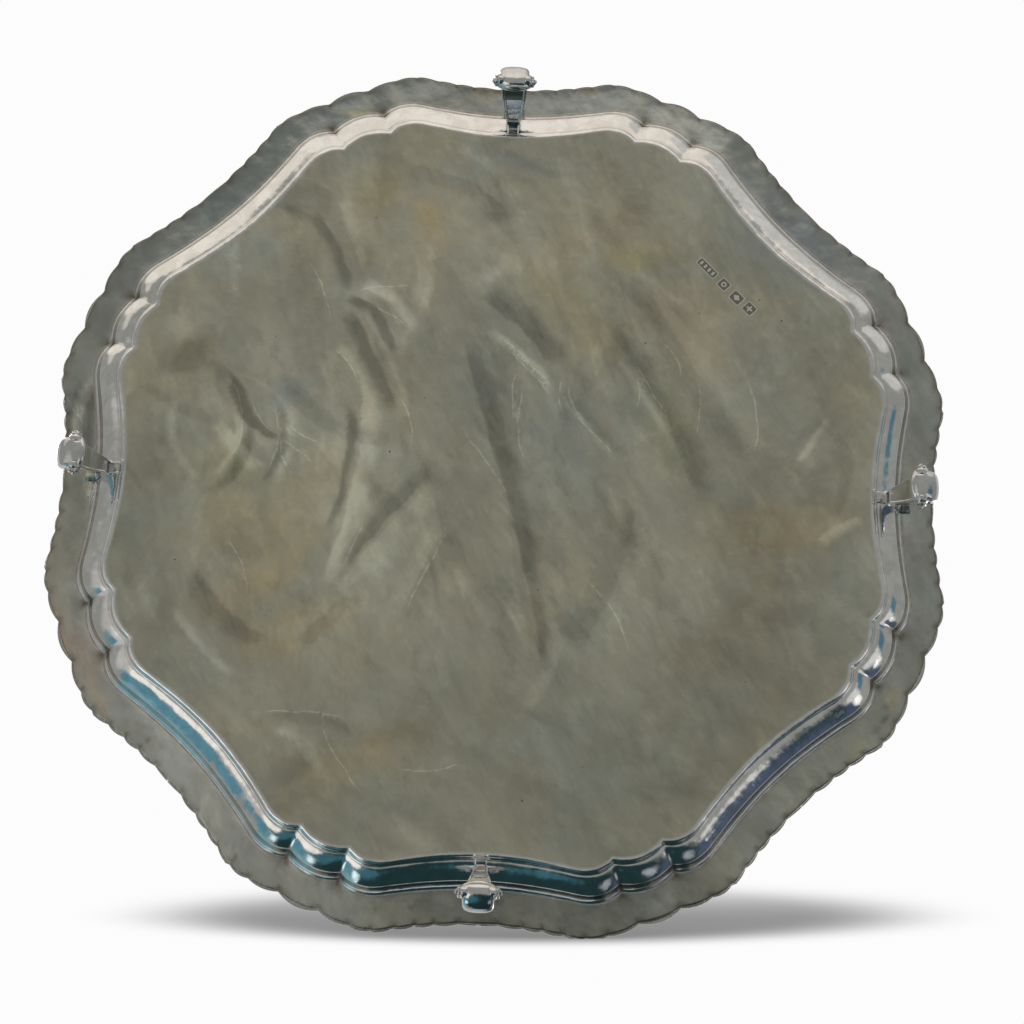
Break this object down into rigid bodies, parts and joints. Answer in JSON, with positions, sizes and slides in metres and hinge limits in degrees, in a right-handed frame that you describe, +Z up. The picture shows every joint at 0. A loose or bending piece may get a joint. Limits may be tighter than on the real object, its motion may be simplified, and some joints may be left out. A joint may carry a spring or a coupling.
{
  "type": "footed salver",
  "caption": "Round tray with a lobed outline, a gadrooned border and a flat well, standing on scroll feet; carries glasses, cups or letters.",
  "frame": {"origin": "on the table plane, under the middle of the plate, with the salver standing on its feet", "axes": "+Z up through the middle of the plate, out of its top face; +X towards scroll_foot_1 and +Y towards scroll_foot_2"},
  "size_m": [0.2988, 0.2988, 0.0288],
  "materials": {
    "sheet_silver": "satin sterling silver with a grey-olive tarnish, polished on the moulded step",
    "cast_border": "polished cast sterling silver with tarnish in the hollows",
    "cast_foot": "bright polished cast sterling silver"
  },
  "bodies": {
    "root": {"plate": "sheet_silver", "border_length_1": "cast_border", "border_length_2": "cast_border", "border_length_3": "cast_border", "border_length_4": "cast_border", "border_length_5": "cast_border", "border_length_6": "cast_border", "border_length_7": "cast_border", "border_length_8": "cast_border", "scroll_foot_1": "cast_foot", "scroll_foot_2": "cast_foot", "scroll_foot_3": "cast_foot", "scroll_foot_4": "cast_foot"}
  },
  "joints": []
}
